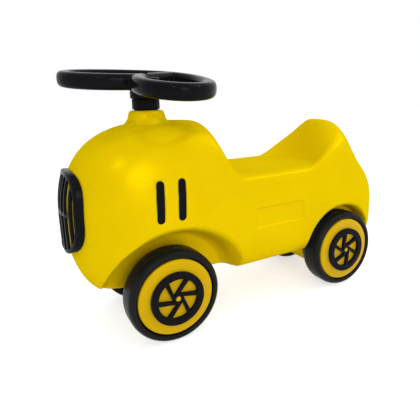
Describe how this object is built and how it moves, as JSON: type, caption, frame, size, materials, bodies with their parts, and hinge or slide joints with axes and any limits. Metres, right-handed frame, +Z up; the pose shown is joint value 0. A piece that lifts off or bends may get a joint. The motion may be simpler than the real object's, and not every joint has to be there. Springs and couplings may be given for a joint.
{
  "type": "ride-on toy car",
  "caption": "Scoot-along toy car with a hollow saddle-shaped body, a two-loop steering wheel on a column, a turning front axle and clip-together wheels.",
  "frame": {"origin": "on the floor, under the middle of the car's outline. The turned steering wheel draws that middle 14.0 mm to the left of the centre plane, and it lies 9.8 mm in front of the point midway between the axles", "axes": "+X to the car's left side, +Y towards its tail (the nose points to -Y), +Z up"},
  "size_m": [0.2712, 0.687, 0.4685],
  "materials": {
    "yellow_plastic": "satin gloss, self-coloured",
    "black_plastic": "satin gloss, self-coloured",
    "black_tyre": "satin",
    "zinc_steel": "zinc plated"
  },
  "bodies": {
    "car_body": {"body_shell": "yellow_plastic", "front_grille": "black_plastic", "slot_insert_left_front": "black_plastic", "slot_insert_left_rear": "black_plastic", "slot_insert_right_front": "black_plastic", "slot_insert_right_rear": "black_plastic", "upper_bush": "black_plastic", "lower_bush": "black_plastic", "rear_axle": "zinc_steel", "axle_cap_rear_left": "zinc_steel", "axle_cap_rear_right": "zinc_steel", "axle_washer_rear_left": "zinc_steel", "axle_washer_rear_right": "zinc_steel"},
    "steering": {"steering_wheel": "black_plastic", "steering_collar": "black_plastic", "steering_shaft": "zinc_steel", "steering_screw": "zinc_steel", "axle_carrier": "black_plastic", "carrier_bolt": "zinc_steel", "carrier_nut": "zinc_steel", "front_axle": "zinc_steel", "axle_cap_front_left": "zinc_steel", "axle_cap_front_right": "zinc_steel", "axle_washer_front_left": "zinc_steel", "axle_washer_front_right": "zinc_steel"},
    "wheel_front_left": {"tyre_front_left": "black_tyre", "wheel_core_front_left": "black_plastic", "wheel_disc_front_left": "yellow_plastic", "hub_trim_front_left": "black_plastic"},
    "wheel_front_right": {"tyre_front_right": "black_tyre", "wheel_core_front_right": "black_plastic", "wheel_disc_front_right": "yellow_plastic", "hub_trim_front_right": "black_plastic"},
    "wheel_rear_left": {"tyre_rear_left": "black_tyre", "wheel_core_rear_left": "black_plastic", "wheel_disc_rear_left": "yellow_plastic", "hub_trim_rear_left": "black_plastic"},
    "wheel_rear_right": {"tyre_rear_right": "black_tyre", "wheel_core_rear_right": "black_plastic", "wheel_disc_rear_right": "yellow_plastic", "hub_trim_rear_right": "black_plastic"}
  },
  "joints": [
    {"name": "steering_turn", "type": "hinge", "parent": "car_body", "child": "steering", "pos_m": [-0.014, -0.1832, 0.25], "axis": [0, 0, 1], "range_deg": [-15, 15]},
    {"name": "front_left_spin", "type": "hinge", "parent": "steering", "child": "wheel_front_left", "pos_m": [0.076, -0.1872, 0.0825], "axis": [1, 0, 0], "continuous": true},
    {"name": "front_right_spin", "type": "hinge", "parent": "steering", "child": "wheel_front_right", "pos_m": [-0.104, -0.1872, 0.0825], "axis": [1, 0, 0], "continuous": true},
    {"name": "rear_left_spin", "type": "hinge", "parent": "car_body", "child": "wheel_rear_left", "pos_m": [0.076, 0.2068, 0.0825], "axis": [1, 0, 0], "continuous": true},
    {"name": "rear_right_spin", "type": "hinge", "parent": "car_body", "child": "wheel_rear_right", "pos_m": [-0.104, 0.2068, 0.0825], "axis": [1, 0, 0], "continuous": true}
  ]
}
